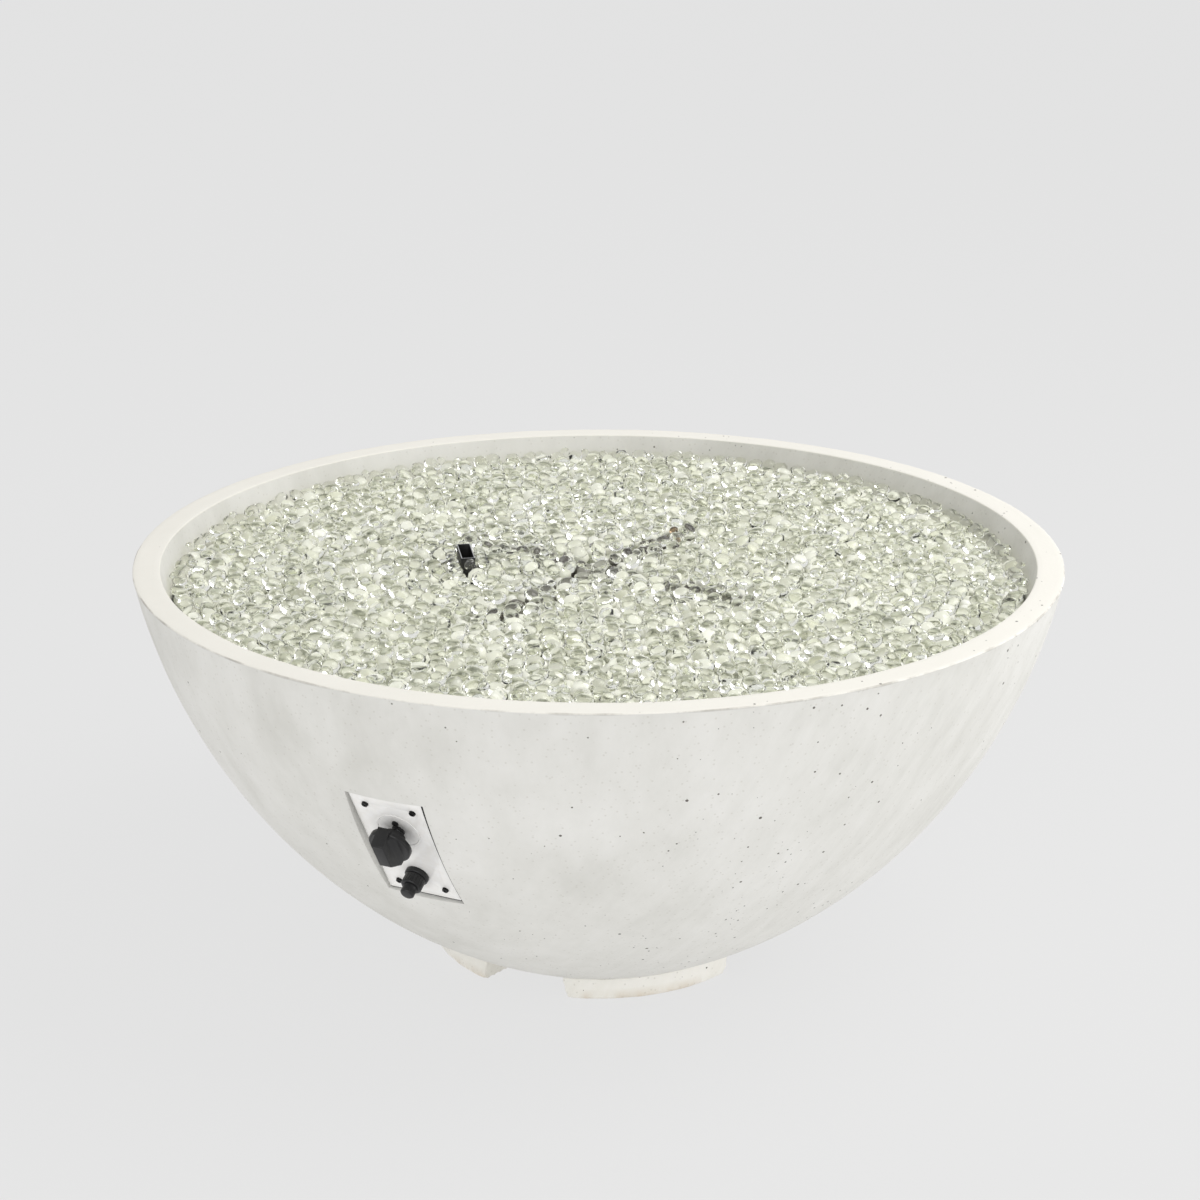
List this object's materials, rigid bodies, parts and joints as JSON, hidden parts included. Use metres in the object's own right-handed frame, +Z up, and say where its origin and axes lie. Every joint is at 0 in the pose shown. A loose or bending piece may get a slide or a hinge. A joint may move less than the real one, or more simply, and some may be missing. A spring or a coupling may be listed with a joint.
{
  "type": "gas fire pit bowl",
  "caption": "Round cast concrete gas fire bowl on ring-segment feet, with clear glass over a cross burner and a recessed panel with gas knob and push-button igniter.",
  "frame": {"origin": "on the ground under the middle of the bowl", "axes": "+Z up; the control panel faces -Y; +X to the right of someone facing the panel"},
  "size_m": [1.0666, 1.0662, 0.482],
  "materials": {
    "cast_concrete": "cast glass-fibre concrete, pale, sealed matt",
    "clear_glass": "clear tumbled fire glass",
    "stainless": "stainless sheet and tube, heat dulled",
    "black_sheet": "black heat-proof enamel",
    "black_screws": "black oxide",
    "white_panel": "gloss white powder coat",
    "cast_alloy": "die cast and drawn alloy",
    "brass": "turned brass",
    "black_plastic": "fine matt moulded",
    "seal_rubber": "moulded O-ring",
    "white_ceramic": "glazed alumina",
    "wire_jacket": "silicone rubber jacket",
    "copper_lead": "drawn copper capillary",
    "battery_wrap": "plain printed sleeve"
  },
  "bodies": {
    "fire_bowl": {"bowl_shell": "cast_concrete", "feet": "cast_concrete", "burner_tray": "stainless", "glass_bed": "clear_glass", "burner_cross": "stainless", "burner_end_caps": "stainless", "burner_saddles": "stainless", "saddle_screws": "stainless", "mixing_tube": "stainless", "mixer_lock_nuts": "stainless", "gas_jet": "brass", "jet_elbow": "brass", "supply_tube": "cast_alloy", "tube_nuts": "brass", "ignition_hood": "black_sheet", "hood_screws": "stainless", "probe_bracket": "stainless", "electrode_ceramic": "white_ceramic", "electrode_rod": "stainless", "igniter_wire": "wire_jacket", "thermocouple_probe": "stainless", "thermocouple_lead": "copper_lead", "thermocouple_nut": "brass", "lead_clips": "cast_alloy", "control_panel": "white_panel", "panel_screws": "black_screws", "panel_anchors": "brass", "gas_valve_body": "cast_alloy", "valve_screws": "black_screws", "magnet_unit": "brass", "inlet_fitting": "brass", "stem_bezel": "black_plastic", "igniter_body": "black_plastic", "igniter_nut": "black_plastic", "battery": "battery_wrap", "battery_spring": "stainless", "stem_spring": "stainless", "button_spring": "stainless"},
    "valve_rotor": {"valve_plug": "brass"},
    "knob_and_stem": {"control_knob": "black_plastic", "valve_stem": "stainless", "knob_clip": "stainless"},
    "cap_seal_ring": {"cap_seal": "seal_rubber"},
    "screw_cap": {"igniter_cap": "black_plastic"},
    "push_button": {"igniter_button": "black_plastic"},
    "shutter": {"air_shutter": "cast_alloy", "shutter_screw": "stainless"}
  },
  "joints": [
    {"name": "knob_turn", "type": "hinge", "parent": "fire_bowl", "child": "valve_rotor", "pos_m": [0, -0.46486, 0.3081], "axis": [0, -0.868, -0.4966], "range_deg": [0, 180]},
    {"name": "knob_push", "type": "slide", "parent": "valve_rotor", "child": "knob_and_stem", "axis": [0, 0.868, 0.4966], "range_m": [0, 0.004], "stiffness_N_per_m": 1500, "springref_m": -0.004, "deforming": ["stem_spring"]},
    {"name": "cap_rise", "type": "slide", "parent": "fire_bowl", "child": "cap_seal_ring", "axis": [0, -0.868, -0.4966], "range_m": [0, 0.004]},
    {"name": "cap_unscrew", "type": "hinge", "parent": "cap_seal_ring", "child": "screw_cap", "pos_m": [0, -0.42811, 0.24387], "axis": [0, -0.868, -0.4966], "range_deg": [0, 720]},
    {"name": "igniter_press", "type": "slide", "parent": "screw_cap", "child": "push_button", "axis": [0, 0.868, 0.4966], "range_m": [0, 0.0035], "stiffness_N_per_m": 800, "springref_m": -0.003, "deforming": ["button_spring"]},
    {"name": "air_set", "type": "hinge", "parent": "fire_bowl", "child": "shutter", "pos_m": [0, 0, 0.317], "axis": [0, 0, 1], "range_deg": [0, 45]}
  ],
  "couplings": [
    {"joint": "cap_unscrew", "follows": "cap_rise", "rad_per_m": 3141.6}
  ]
}
